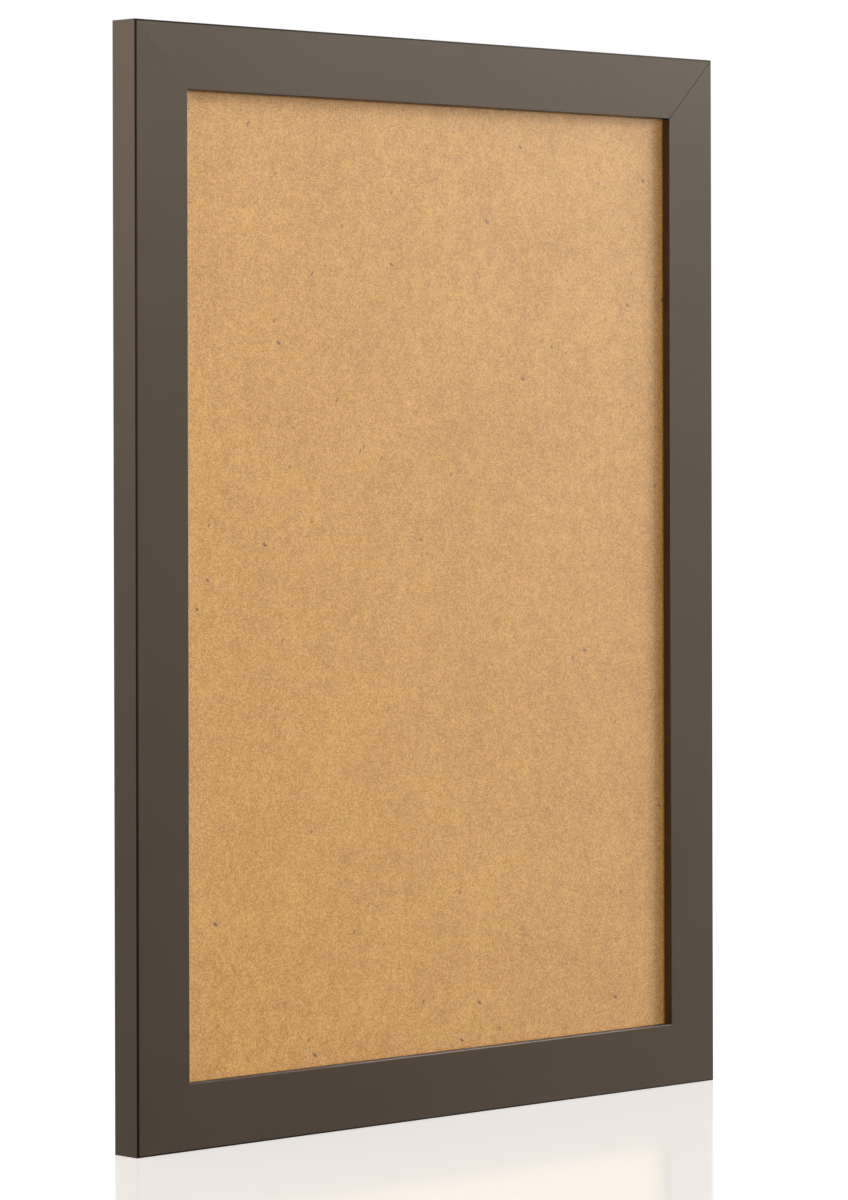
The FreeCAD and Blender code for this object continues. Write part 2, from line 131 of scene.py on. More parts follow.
class Graph:
    """A shader node tree, with short calls that add its nodes and join them."""

    def __init__(self, tree: bpy.types.NodeTree) -> None:
        """Takes over a node tree and empties it.

        Args:
            tree: The node tree of a material, a world or a group.
        """
        self.tree = tree
        tree.nodes.clear()

    def add(
        self, kind: str, values: dict[str | int, Value] | None = None, **settings: object
    ) -> bpy.types.Node:
        """Adds a node, sets its options and fills its inputs.

        Args:
            kind: The node's type name, without its ShaderNode prefix.
            values: What each input holds, or the output that feeds it.
            **settings: The node's own options.

        Returns:
            The new node.
        """
        prefix = "" if kind.startswith("NodeGroup") else "ShaderNode"
        node = self.tree.nodes.new(prefix + kind)
        for name, value in settings.items():
            setattr(node, name, value)
        for key, value in (values or {}).items():
            if isinstance(value, Socket):
                self.tree.links.new(value, node.inputs[key])
            else:
                node.inputs[key].default_value = value
        return node

    def math(self, operation: str, *values: float | Socket) -> Socket:
        """Adds a sum on plain values.

        Args:
            operation: The sum's name, such as MULTIPLY.
            *values: The numbers or outputs that go in.

        Returns:
            The output that holds the result.
        """
        return self.add("Math", dict(enumerate(values)), operation=operation).outputs[0]

    def remap(self, value: Socket, source: Span, target: Span = (0.0, 1.0)) -> Socket:
        """Maps a value smoothly from one range onto another.

        Args:
            value: The output to map.
            source: The range's ends before.
            target: The range's ends after.

        Returns:
            The mapped output.
        """
        values = {"Value": value, 1: source[0], 2: source[1], 3: target[0], 4: target[1]}
        node = self.add("MapRange", values, interpolation_type="SMOOTHSTEP")
        return node.outputs["Result"]

    def blend(self, share: Socket, low: Colour | Socket, high: Colour | Socket) -> Socket:
        """Blends two colours.

        Args:
            share: How much of the second colour shows.
            low: The first colour.
            high: The second colour.

        Returns:
            The blended colour.
        """
        low, high = (c if isinstance(c, Socket) else (*c, 1.0) for c in (low, high))
        node = self.add("Mix", {0: share, 6: low, 7: high}, data_type="RGBA")
        return node.outputs[2]

    def stretched(self, vector: Socket, size: Socket, length: Socket) -> Socket:
        """Scales coordinates so that a pattern of some size runs long along x.

        Args:
            vector: The coordinates.
            size: The pattern's size across.
            length: How many times longer it is along x.

        Returns:
            The scaled coordinates.
        """
        scale = self.math("DIVIDE", 1.0, size)
        along = self.math("DIVIDE", scale, length)
        stretch = self.add("CombineXYZ", {"X": along, "Y": scale, "Z": scale})
        values = {0: vector, 1: stretch.outputs[0]}
        return self.add("VectorMath", values, operation="MULTIPLY").outputs[0]

    def effect(self, group: bpy.types.NodeTree, **values: Value) -> Socket:
        """Places one of the shared effects.

        Args:
            group: The effect's node group.
            **values: What the group's inputs hold.

        Returns:
            What the effect gives.
        """
        return self.add("Group", values, node_tree=group).outputs[0]


def effect_group(
    name: str, inputs: dict[str, float | None], output: str
) -> tuple[Graph, bpy.types.NodeOutputs]:
    """Starts a shared effect with its named inputs and its output.

    Args:
        name: The group's name.
        inputs: Each input's name and default; None is a vector.
        output: The name of the value that comes out.

    Returns:
        The group's graph and what its inputs hold.
    """
    tree = bpy.data.node_groups.new(name, "ShaderNodeTree")
    for word, value in inputs.items():
        kind = "NodeSocketVector" if value is None else "NodeSocketFloat"
        socket = tree.interface.new_socket(word, in_out="INPUT", socket_type=kind)
        if value is not None:
            socket.default_value = value
    tree.interface.new_socket(output, in_out="OUTPUT", socket_type="NodeSocketFloat")
    graph = Graph(tree)
    return graph, graph.add("NodeGroupInput").outputs


def tone_effect() -> bpy.types.NodeTree:
    """Builds the uneven tone that every finish has, from fine grain to broad clouds.

    Returns:
        A group that gives a tone between -1 and 1.
    """
    sizes = {"Vector": None, "Fine": 0.0005, "Broad": 0.02, "Balance": 0.5}
    graph, given = effect_group("uneven_tone", sizes, "Tone")
    tones = []
    for word, detail in (("Fine", 2.0), ("Broad", 3.0)):
        scale = graph.math("DIVIDE", 1.0, given[word])
        values = {"Vector": given["Vector"], "Scale": scale, "Detail": detail}
        noise = graph.add("TexNoise", values)
        tones.append(graph.math("MULTIPLY_ADD", noise.outputs[0], 2.0, -1.0))
    fine, broad = tones
    part = graph.math("MULTIPLY", fine, graph.math("SUBTRACT", 1.0, given["Balance"]))
    tone = graph.math("MULTIPLY_ADD", broad, given["Balance"], part)
    graph.add("NodeGroupOutput", {"Tone": tone})
    return graph.tree


def fleck_effect() -> bpy.types.NodeTree:
    """Builds scattered short flecks, such as dark fibres or dust.

    Returns:
        A group that gives a mask of the flecks.
    """
    sizes = {"Vector": None, "Size": 0.001, "Share": 0.1, "Stretch": 2.0, "Turn": 0.0, "Width": 0.3}
    graph, given = effect_group("flecks", sizes, "Mask")
    angle = graph.add("CombineXYZ", {"Y": given["Turn"]})
    turned = graph.add("Mapping", {"Vector": given["Vector"], "Rotation": angle.outputs[0]})
    placed = graph.stretched(turned.outputs[0], given["Size"], given["Stretch"])
    cells = graph.add("TexVoronoi", {"Vector": placed, "Scale": 1.0})
    lot = graph.add("SeparateColor", {"Color": cells.outputs["Color"]})
    chosen = graph.math("LESS_THAN", lot.outputs[0], given["Share"])
    reach = graph.math("MULTIPLY", given["Width"], lot.outputs[1])
    nearness = graph.math("SUBTRACT", 1.0, graph.math("DIVIDE", cells.outputs["Distance"], reach))
    soft = graph.remap(nearness, (0.0, 0.5))
    graph.add("NodeGroupOutput", {"Mask": graph.math("MULTIPLY", soft, chosen)})
    return graph.tree


def streak_effect() -> bpy.types.NodeTree:
    """Builds the long fine streaks of rolled or drawn metal and of wrapped foil.

    Returns:
        A group that gives a tone between -1 and 1.
    """
    sizes = {"Vector": None, "Pitch": 0.0004, "Length": 40.0}
    graph, given = effect_group("streaks", sizes, "Tone")
    placed = graph.stretched(given["Vector"], given["Pitch"], given["Length"])
    noise = graph.add("TexNoise", {"Vector": placed, "Scale": 1.0, "Detail": 3.0})
    tone = graph.math("MULTIPLY_ADD", noise.outputs[0], 2.0, -1.0)
    graph.add("NodeGroupOutput", {"Tone": tone})
    return graph.tree


@dataclass(frozen=True)
class Effects:
    """The effects that more than one finish uses."""

    tone: bpy.types.NodeTree
    flecks: bpy.types.NodeTree
    streaks: bpy.types.NodeTree

    @classmethod
    def made(cls) -> "Effects":
        """Builds each effect once."""
        return cls(tone_effect(), fleck_effect(), streak_effect())


def new_graph(name: str) -> tuple[Material, Graph]:
    """Starts a material.

    Args:
        name: The finish's name.

    Returns:
        The material and its emptied graph.
    """
    material = bpy.data.materials.new(name)
    material.use_nodes = True
    return material, Graph(material.node_tree)


def finish_graph(graph: Graph, surface: Socket) -> None:
    """Joins a surface to a material's output."""
    graph.add("OutputMaterial", {"Surface": surface})


def finish_relief(graph: Graph, relief: Socket, depth: float, values: dict[str, Value]) -> None:
    """Joins an opaque surface with a fine relief to a material's output.

    Args:
        graph: The material's graph.
        relief: The height of the relief.
        depth: How deep the relief is.
        values: What the surface's inputs hold.
    """
    bump = graph.add("Bump", {"Height": relief, "Distance": depth, "Strength": 1.0})
    surface = graph.add("BsdfPrincipled", {**values, "Normal": bump.outputs[0]})
    finish_graph(graph, surface.outputs[0])


@dataclass(frozen=True)
class Foil:
    """The smooth satin paper foil, wrapped round the moulding."""

    name: str = "dark_satin_foil"
    deep: Colour = (0.0300, 0.0170, 0.0095)
    pale: Colour = (0.0380, 0.0220, 0.0125)
    dust: Colour = (0.22, 0.19, 0.16)
    sheen: float = 0.85
    sheen_tint: Colour = (1.0, 0.875, 0.715)
    roughness: float = 0.34
    peel: float = 0.000012
    streakiness: float = 0.5
    tone_span: Span = (-0.9, 0.9)
    cloud_roughness: float = 0.05
    dust_roughness: float = 0.3

    def material(self, effects: Effects) -> Material:
        """Makes the foil, whose faint streaks follow each member's length.

        Args:
            effects: The shared effects.

        Returns:
            The material.
        """
        material, graph = new_graph(self.name)
        run = graph.add("Attribute", attribute_name="run").outputs["Vector"]
        clouds = graph.effect(effects.tone, Vector=run, Fine=0.0006, Broad=0.05, Balance=0.6)
        streaks = graph.effect(effects.streaks, Vector=run, Pitch=0.0007, Length=120.0)
        tone = graph.math("MULTIPLY_ADD", streaks, self.streakiness, clouds)
        share = graph.remap(tone, self.tone_span)
        specks = graph.effect(
            effects.flecks, Vector=run, Size=0.005, Share=0.10, Stretch=1.3, Width=0.05
        )
        colour = graph.blend(share, self.deep, self.pale)
        rough = graph.math("MULTIPLY_ADD", clouds, self.cloud_roughness, self.roughness)
        peel = graph.effect(effects.tone, Vector=run, Fine=0.0004, Broad=0.002, Balance=0.6)
        values = {
            "Base Color": graph.blend(specks, colour, self.dust),
            "Roughness": graph.math("MULTIPLY_ADD", specks, self.dust_roughness, rough),
            "Specular IOR Level": self.sheen,
            "Specular Tint": (*self.sheen_tint, 1.0),
        }
        finish_relief(graph, peel, self.peel, values)
        return material


@dataclass(frozen=True)
class FleckLayer:
    """One kind of fleck in the board: its size, how common it is, its shape and its strength."""

    size: float
    share: float
    stretch: float
    turn: float
    width: float
    strength: float
    light: bool = False


FLECK_LAYERS = (
    FleckLayer(size=0.0022, share=0.55, stretch=2.4, turn=0.5, width=0.24, strength=0.60),
    FleckLayer(size=0.0026, share=0.45, stretch=2.8, turn=2.1, width=0.20, strength=0.65),
    FleckLayer(0.0017, share=0.45, stretch=2.6, turn=1.4, width=0.22, strength=0.50, light=True),
    FleckLayer(size=0.0060, share=0.22, stretch=2.2, turn=1.1, width=0.14, strength=0.85),
    FleckLayer(size=0.0095, share=0.20, stretch=2.0, turn=2.6, width=0.11, strength=0.95),
)


@dataclass(frozen=True)
class Fibreboard:
    """Bare fibreboard: pressed fibres with dark flecks, soft clouds and a faint nap."""

    name: str = "bare_fibreboard"
    deep: Colour = (0.47, 0.205, 0.043)
    pale: Colour = (0.81, 0.428, 0.126)
    fleck: Colour = (0.20, 0.095, 0.035)
    light_fibre: Colour = (0.80, 0.55, 0.29)
    cloudiness: float = 0.27
    roughness: float = 0.55
    nap: float = 0.00002
    tone_span: Span = (-0.34, 0.34)
    grain_roughness: float = 0.06

    def material(self, effects: Effects) -> Material:
        """Makes the board's surface on Object coordinates.

        Args:
            effects: The shared effects.

        Returns:
            The material.
        """
        material, graph = new_graph(self.name)
        place = graph.add("TexCoord").outputs["Object"]
        grain = graph.effect(effects.tone, Vector=place, Fine=0.00055, Broad=0.0010, Balance=0.3)
        clouds = graph.effect(effects.tone, Vector=place, Fine=0.006, Broad=0.04, Balance=0.45)
        tone = graph.math("MULTIPLY_ADD", clouds, self.cloudiness, grain)
        colour = graph.blend(graph.remap(tone, self.tone_span), self.deep, self.pale)
        for layer in FLECK_LAYERS:
            flecks = graph.effect(
                effects.flecks,
                Vector=place,
                Size=layer.size,
                Share=layer.share,
                Stretch=layer.stretch,
                Turn=layer.turn,
                Width=layer.width,
            )
            amount = graph.math("MULTIPLY", flecks, layer.strength)
            colour = graph.blend(amount, colour, self.light_fibre if layer.light else self.fleck)
        rough = graph.math("MULTIPLY_ADD", grain, self.grain_roughness, self.roughness)
        finish_relief(graph, grain, self.nap, {"Base Color": colour, "Roughness": rough})
        return material


@dataclass(frozen=True)
class Metal:
    """A plated or rolled steel, with its fine streaks and clouded tarnish."""

    name: str
    colour: Colour
    tarnish: Colour
    metallic: float = 1.0
    roughness: float = 0.28
    pitch: float = 0.0003
    streak: float = 0.000004
    streakiness: float = 0.6
    tone_span: Span = (-0.9, 0.6)
    tone_roughness: float = 0.08

    def material(self, effects: Effects) -> Material:
        """Makes the metal on Object coordinates.

        Args:
            effects: The shared effects.

        Returns:
            The material.
        """
        material, graph = new_graph(self.name)
        place = graph.add("TexCoord").outputs["Object"]
        clouds = graph.effect(effects.tone, Vector=place, Fine=0.0004, Broad=0.003, Balance=0.7)
        streaks = graph.effect(effects.streaks, Vector=place, Pitch=self.pitch, Length=25.0)
        tone = graph.math("MULTIPLY_ADD", streaks, self.streakiness, clouds)
        values = {
            "Base Color": graph.blend(graph.remap(tone, self.tone_span), self.tarnish, self.colour),
            "Metallic": self.metallic,
            "Roughness": graph.math("MULTIPLY_ADD", tone, self.tone_roughness, self.roughness),
        }
        finish_relief(graph, streaks, self.streak, values)
        return material


@dataclass(frozen=True)
class ClearGlass:
    """Thin clear float glass, which lets light through to the board without a caustic."""

    name: str = "clear_glass"
    tint: Colour = (0.985, 0.995, 0.988)
    roughness: float = 0.01
    refraction: float = 1.45
    tone_span: Span = (-0.2, 1.0)

    def material(self, effects: Effects) -> Material:
        """Makes the glass.

        Args:
            effects: The shared effects.

        Returns:
            The material.
        """
        material, graph = new_graph(self.name)
        place = graph.add("TexCoord").outputs["Object"]
        clouds = graph.effect(effects.tone, Vector=place, Fine=0.004, Broad=0.06, Balance=0.7)
        rough = graph.remap(clouds, self.tone_span, (self.roughness, self.roughness * 3.0))
        values = {
            "Base Color": (*self.tint, 1.0),
            "Roughness": rough,
            "IOR": self.refraction,
            "Transmission Weight": 1.0,
        }
        pane = graph.add("BsdfPrincipled", values)
        clear = graph.add("BsdfTransparent", {"Color": (*self.tint, 1.0)})
        path = graph.add("LightPath").outputs
        lit = graph.math("MAXIMUM", path["Is Shadow Ray"], path["Is Diffuse Ray"])
        mixed = graph.add("MixShader", {0: lit, 1: pane.outputs[0], 2: clear.outputs[0]})
        finish_graph(graph, mixed.outputs[0])
        return material


@dataclass(frozen=True)
class Finishes:
    """Every finish of the frame, made once."""

    foil: Material
    crease: Material
    core: Material
    seam: Material
    board: Material
    rear: Material
    glass: Material
    nail: Material
    tab: Material
    hanger: Material
    screw: Material

    @classmethod
    def made(cls, effects: Effects) -> "Finishes":
        """Makes the finishes from the shared effects.

        Args:
            effects: The shared effects.

        Returns:
            The set of materials.
        """
        finishes = {
            "foil": Foil(),
            # Near-black foil for the outer front arris: painted shade that stands for the dark
            # surroundings reflected in the rounded edge.
            "crease": Foil(
                "foil_painted_arris_shade",
                (0.011, 0.0065, 0.0038),
                (0.015, 0.009, 0.0055),
                sheen=0.22,
                roughness=0.5,
            ),
            "core": Fibreboard(
                "moulding_core", (0.27, 0.155, 0.075), (0.46, 0.295, 0.15), (0.12, 0.065, 0.03)
            ),
            # Near-black for the mitre rims: partly the joint line itself, partly painted shade that
            # stands for the shadow in the joint's gap.
            "seam": Fibreboard(
                "mitre_seam_painted_shade", (0.008, 0.005, 0.003), (0.018, 0.012, 0.008), (0.004, 0.003, 0.002)
            ),
            "board": Fibreboard(),
            "rear": Fibreboard(
                "rough_board_rear", (0.36, 0.20, 0.080), (0.60, 0.37, 0.175), (0.15, 0.08, 0.035)
            ),
            "glass": ClearGlass(),
            "nail": Metal("corner_nail_steel", (0.50, 0.49, 0.46), (0.30, 0.28, 0.25), 0.9, 0.42),
            "tab": Metal("soft_tab_steel", (0.56, 0.56, 0.55), (0.38, 0.37, 0.36), 0.95, 0.36),
            "hanger": Metal("bright_zinc", (0.72, 0.72, 0.70), (0.55, 0.55, 0.54), 1.0, 0.22),
            "screw": Metal("bright_screw_zinc", (0.70, 0.70, 0.69), (0.50, 0.50, 0.50), 1.0, 0.2),
        }
        return cls(**{word: finish.material(effects) for word, finish in finishes.items()})


def add_object(name: str, data: bpy.types.ID) -> bpy.types.Object:
    """Makes an object and puts it in the scene.

    Args:
        name: The object's name.
        data: Its mesh, lamp or camera.

    Returns:
        The new object.
    """
    thing = bpy.data.objects.new(name, data)
    bpy.context.scene.collection.objects.link(thing)
    return thing


def place_mesh(name: str, shape: bmesh.types.BMesh, materials: list[Material]) -> bpy.types.Object:
    """Turns a finished bmesh into an object at the origin, and frees the bmesh.

    Args:
        name: The piece's name.
        shape: The shape, already in its place.
        materials: The material of each material index.

    Returns:
        The new object.
    """
    mesh = bpy.data.meshes.new(name)
    shape.to_mesh(mesh)
    shape.free()
    for material in materials:
        mesh.materials.append(material)
    return add_object(name, mesh)


def merged_copy(node: str) -> bmesh.types.BMesh:
    """Copies a node's solid and joins its loose triangles into whole faces.

    Args:
        node: The node's name.

    Returns:
        The copied shape.
    """
    shape = bmesh.new()
    shape.from_mesh(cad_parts[node].data)
    bmesh.ops.remove_doubles(shape, verts=shape.verts, dist=MICRON)
    flat = math.radians(MERGE_DEGREES)
    bmesh.ops.dissolve_limit(shape, angle_limit=flat, verts=shape.verts[:], edges=shape.edges[:])
    shape.normal_update()
    return shape


def with_rims(faces: list[bmesh.types.BMFace]) -> list[Part]:
    """Lists some faces together with their edges and their corners."""
    return list({part for face in faces for part in (face, *face.edges, *face.verts)})


def sharp_edges(shape: bmesh.types.BMesh, degrees: float) -> list[bmesh.types.BMEdge]:
    """Lists a shape's edges whose two faces turn by more than an angle."""
    return [e for e in shape.edges if e.calc_face_angle(0.0) > math.radians(degrees)]


def soften(
    shape: bmesh.types.BMesh, edges: list[bmesh.types.BMEdge], width: float, steps: int = 2
) -> None:
    """Rounds some edges of a shape.

    Args:
        shape: The shape.
        edges: The edges to round.
        width: How far the rounding reaches on each side.
        steps: The number of faces across the rounding.
    """
    bmesh.ops.bevel(
        shape,
        geom=edges,
        offset=width,
        offset_type="OFFSET",
        segments=steps,
        profile=0.5,
        affect="EDGES",
        material=-1,
        clamp_overlap=False,
    )
    shape.normal_update()


def shade_by_angle(piece: bpy.types.Object, degrees: float = 40.0) -> None:
    """Shades a piece smooth, but for the edges that turn by more than an angle."""
    piece.data.shade_smooth()
    piece.data.set_sharp_from_angle(angle=math.radians(degrees))


class Skin(IntEnum):
    """The moulding's finishes, as material indices, two of which paint shade on the mitre rims and
    the outer front arris.
    """

    FOIL = 0
    CORE = 1
    # Mitre rims: the joint line, darkened with painted shade for the joint's gap.
    SEAM = 2
    # Outer front arris: painted shade, near-black foil in place of a dark reflection.
    CREASE = 3


@dataclass
class Moulding:
    """Four mitred lengths of rebated moulding, foil outside and bare core at the back."""

    foil: Material
    # The second finish paints shade on the outer front arris; the fourth darkens the mitre rims'
    # joint line with painted shade.
    crease: Material
    core: Material
    seam: Material
    front_arris: float = 0.8 * MM
    sight_arris: float = 0.4 * MM
    back_arris: float = 0.5 * MM
    arris_steps: int = 7
    fold_over: float = 3.5 * MM
    slot_room: float = 0.02 * MM
    run_step: float = 1.7
    # Each corner's mitre rim width, which also sets how wide the near-black joint line with its
    # painted shade shows.
    rims: dict[Corner, float] = field(
        default_factory=lambda: {
            Corner.TOP_LEFT: 0.03 * MM,
            Corner.TOP_RIGHT: 0.15 * MM,
            Corner.BOTTOM_LEFT: 0.05 * MM,
            Corner.BOTTOM_RIGHT: 0.04 * MM,
        }
    )

    def __post_init__(self) -> None:
        """Reads the frame's outer size and the moulding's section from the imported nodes."""
        low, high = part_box(Member.BOTTOM_RAIL.node)
        self.half_width = high.x
        self.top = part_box(Member.TOP_RAIL.node)[1].z
        self.front = low.y
        self.back = high.y
        self.width = high.z
        self.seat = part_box("glazing")[0].y
        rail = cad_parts[Member.BOTTOM_RAIL.node].data
        self.land = max(v.co.z for v in rail.vertices if v.co.y > self.back - MICRON)

    def placing(self, member: Member) -> Matrix:
        """Gives the move that brings the level bar to a member's place.

        Args:
            member: Which member it is.

        Returns:
            The move.
        """
        shift = {
            Member.BOTTOM_RAIL: (0, 0, 0),
            Member.LEFT_STILE: (-self.half_width, 0, self.top / 2),
            Member.TOP_RAIL: (0, 0, self.top),
            Member.RIGHT_STILE: (self.half_width, 0, self.top / 2),
        }
        turn = Matrix.Rotation(math.radians(member.value), 4, "Y")
        return Matrix.Translation(shift[member]) @ turn

    def corner_at(self, point: Vector) -> Corner:
        """Finds the corner nearest to a point of a member."""
        return Corner((1 if point.x > 0 else -1, 1 if point.z > self.top / 2 else -1))

    def level_bar(self, half: float) -> bmesh.types.BMesh:
        """Draws the section, runs it out, rounds its arrises and saws both mitres.

        Args:
            half: Half of the member's outer length.

        Returns:
            The bar, level, with its outer bottom edge on the x axis.
        """
        section = (
            (self.front, 0),
            (self.front, self.width),
            (self.seat, self.width),
            (self.seat, self.land),
            (self.back, self.land),
            (self.back, 0),
        )
        shape = bmesh.new()
        start = shape.faces.new([shape.verts.new((-half, y, z)) for y, z in section])
        run = bmesh.ops.extrude_face_region(shape, geom=[start])["geom"]
        ends = [part for part in run if isinstance(part, bmesh.types.BMVert)]
        bmesh.ops.translate(shape, vec=(2 * half, 0, 0), verts=ends)
        bmesh.ops.recalc_face_normals(shape, faces=shape.faces)
        for y, z, radius in (
            (self.front, 0, self.front_arris),
            (self.front, self.width, self.sight_arris),
            (self.back, 0, self.back_arris),
        ):
            long = [
                edge
                for edge in shape.edges
                if all((v.co.yz - Vector((y, z))).length < MICRON for v in edge.verts)
            ]
            soften(shape, long, radius, self.arris_steps)
        for sign in (-1, 1):
            bmesh.ops.bisect_plane(
                shape,
                geom=shape.verts[:] + shape.edges[:] + shape.faces[:],
                dist=MICRON,
                plane_co=(sign * half, 0, 0),
                plane_no=(sign, 0, 1),
                clear_outer=True,
            )
            bmesh.ops.holes_fill(shape, edges=[e for e in shape.edges if e.is_boundary])
        shape.normal_update()
        return shape

    def soften_mitre(self, shape: bmesh.types.BMesh, sign: int, width: float) -> None:
        """Rounds one mitre's rim on every face that shows.

        Args:
            shape: The level bar.
            sign: Which end, as the sign of x.
            width: How wide the rounding is.
        """
        facing = Vector((sign, 0, 1)).normalized()
        (mitre,) = (face for face in shape.faces if face.normal.dot(facing) > SQUARE_ON)
        rim = []
        for edge in mitre.edges:
            middle = (edge.verts[0].co + edge.verts[1].co) / 2
            if middle.z <= self.land - MICRON or middle.y <= self.seat - MICRON:
                rim.append(edge)
        soften(shape, rim, width)

    def slot_cutter(self) -> bpy.types.Object:
        """Copies every nail and anchor, a little swollen, to cut their slots.

        Returns:
            The cutter.
        """
        shape = bmesh.new()
        buried = [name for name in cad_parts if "corner_nails" in name or "tab_anchor" in name]
        for name in sorted(buried):
            shape.from_mesh(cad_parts[name].data)
        bmesh.ops.remove_doubles(shape, verts=shape.verts, dist=MICRON)
        shape.normal_update()
        for vert in shape.verts:
            vert.co += vert.normal * self.slot_room
        return place_mesh("slot_cutter", shape, [])

    def cut_slots(self, piece: bpy.types.Object, cutter: bpy.types.Object) -> None:
        """Cuts the nails' and anchors' slots, and keeps the result.

        Args:
            piece: The member's object.
            cutter: The swollen nails and anchors.
        """
        cut = piece.modifiers.new("slots", "BOOLEAN")
        cut.operation = "DIFFERENCE"
        cut.object = cutter
        cut.solver = "EXACT"
        depsgraph = bpy.context.evaluated_depsgraph_get()
        mesh = bpy.data.meshes.new_from_object(piece.evaluated_get(depsgraph))
        mesh.name = piece.name
        piece.modifiers.clear()
        piece.data = mesh

    def dress(self, piece: bpy.types.Object, member: Member) -> None:
        """Gives each face its finish and shading, with painted shade on the outer front arris and
        the mitre rims, and each point its place along the member.

        Args:
            piece: The member's object.
            member: Which member it is.
        """
        home = self.placing(member).inverted()
        shape = bmesh.new()
        shape.from_mesh(piece.data)
        shape.normal_update()
        run = shape.verts.layers.float_vector.new("run")
        offset = Vector((self.run_step * member.value / 90, 0, 0))
        for vert in shape.verts:
            vert[run] = home @ vert.co + offset
        for face in shape.faces:
            middle = home @ face.calc_center_median()
            normal = home.to_3x3() @ face.normal
            plain = max(abs(part) for part in normal) > 0.99999
            mitred = abs(normal.y) < 0.001 and abs(abs(normal.x) - normal.z) < 0.001
            wrapped = middle.y < self.seat - MICRON or middle.z < self.fold_over
            reach = max(self.mitre_depth(home @ vert.co, member) for vert in face.verts)
            rim = self.rims[self.corner_at(face.calc_center_median())]
            if mitred or not wrapped:
                face.material_index = Skin.CORE
            # Mitre rims take the near-black joint finish: the joint line, darkened with painted
            # shade.
            elif reach < rim + MICRON:
                face.material_index = Skin.SEAM
            # The outer front arris takes the near-black foil, which paints a dark reflection as
            # shade.
            elif max(middle.y - self.front, middle.z) < self.front_arris:
                face.material_index = Skin.CREASE
            face.smooth = not (plain or mitred)
        piece.data.materials.clear()
        for material in (self.foil, self.core, self.seam, self.crease):
            piece.data.materials.append(material)
        shape.to_mesh(piece.data)
        shape.free()

    def mitre_depth(self, point: Vector, member: Member) -> float:
        """Measures how far a point of a member's level bar lies from the nearer mitre."""
        return (self.half_length(member) - abs(point.x) - point.z) / math.sqrt(2)

    def half_length(self, member: Member) -> float:
        """Half of a member's outer length."""
        return self.half_width if member.is_rail else self.top / 2

    def build_member(self, member: Member, cutter: bpy.types.Object) -> bpy.types.Object:
        """Makes one member, with its mitre rims, its slots and its finishes.

        Args:
            member: Which member to make.
            cutter: The swollen nails and anchors.

        Returns:
            The member's piece.
        """
        half = self.half_length(member)
        place = self.placing(member)
        shape = self.level_bar(half)
        for sign in (-1, 1):
            corner = self.corner_at(place @ Vector((sign * half, 0, 0)))
            self.soften_mitre(shape, sign, self.rims[corner])
        back = [f for f in shape.faces if f.normal.y > SQUARE_ON]
        bmesh.ops.bisect_plane(
            shape,
            geom=with_rims(back),
            dist=MICRON,
            plane_co=(0, 0, self.fold_over),
            plane_no=(0, 0, 1),
        )
        bmesh.ops.transform(shape, matrix=place, verts=shape.verts)
        piece = place_mesh(f"{member.node}_wrapped", shape, [])
        self.cut_slots(piece, cutter)
        self.dress(piece, member)
        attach(piece, "frame")
        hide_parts(member.node)
        return piece

    def build(self) -> list[bpy.types.Object]:
        """Makes all four members."""
        cutter = self.slot_cutter()
        pieces = [self.build_member(member, cutter) for member in Member]
        bpy.data.objects.remove(cutter)
        return pieces


@dataclass
class Sheets:
    """The glass pane and the fibreboard back, each with its edges eased."""

    glass: Material
    board: Material
    rear: Material
    glass_arris: float = 0.25 * MM
    board_arris: float = 0.15 * MM
    clearance: float = 0.03 * MM

    def sheet(
        self, node: str, name: str, materials: list[Material], arris: float, gap: float
    ) -> bpy.types.Object:
        """Makes one flat sheet in its node's place.

        Args:
            node: The node that the sheet replaces.
            name: The piece's name.
            materials: Its finish, and the rear face's own finish last.
            arris: The width of the eased edges.
            gap: How far its faces stay clear of its neighbours.

        Returns:
            The sheet.
        """
        low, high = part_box(node)
        low, high = low + Vector((0, gap, 0)), high - Vector((0, gap, 0))
        shape = bmesh.new()
        bmesh.ops.create_cube(shape, size=1.0)
        bmesh.ops.scale(shape, vec=high - low, verts=shape.verts)
        bmesh.ops.translate(shape, vec=(low + high) / 2, verts=shape.verts)
        soften(shape, shape.edges[:], arris)
        for face in shape.faces:
            if face.normal.y > REARWARD:
                face.material_index = len(materials) - 1
        piece = place_mesh(name, shape, materials)
        shade_by_angle(piece, 20.0)
        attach(piece, "frame")
        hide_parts(node)
        return piece

    def build(self) -> list[bpy.types.Object]:
        """Makes the pane and the back."""
        pane = self.sheet("glazing", "glass_pane", [self.glass], self.glass_arris, self.clearance)
        back = self.sheet(
            "backboard", "board_back", [self.board, self.rear], self.board_arris, 0.0
        )
        return [pane, back]


@dataclass
class Fittings:
    """The steel that holds the frame together: the corner nails and the bending tabs."""

    nail: Material
    tab: Material
    edge: float = 0.05 * MM

    def soft_copy(self, node: str, body: str, material: Material) -> bpy.types.Object:
        """Makes a finer copy of a small steel piece, with its sharp edges eased.

        Args:
            node: The node that it replaces.
            body: The body that it rides on.
            material: Its finish.

        Returns:
            The piece.
        """
        shape = merged_copy(node)
        soften(shape, sharp_edges(shape, 40), self.edge, 1)
        piece = place_mesh(f"{node}_eased", shape, [material])
        shade_by_angle(piece)
        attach(piece, body)
        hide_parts(node)
        return piece

    def build(self) -> list[bpy.types.Object]:
        """Finishes the nails and anchors, and makes the tabs' leaves.

        Returns:
            The new pieces.
        """
        leaves = []
        for corner in Corner:
            finish_node(f"corner_nails_{corner.name.lower()}", self.nail)
        for member, count in TAB_COUNTS.items():
            for number in range(1, count + 1):
                finish_node(f"{member.node}_tab_anchor_{number}", self.tab)
                node = f"{member.node}_tab_leaf_{number}"
                body = f"{member.node}_tab_{number}"
                leaves.append(self.soft_copy(node, body, self.tab))
        return leaves


def finish_node(node: str, material: Material) -> None:
    """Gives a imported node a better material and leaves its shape."""
    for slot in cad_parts[node].material_slots:
        slot.material = material


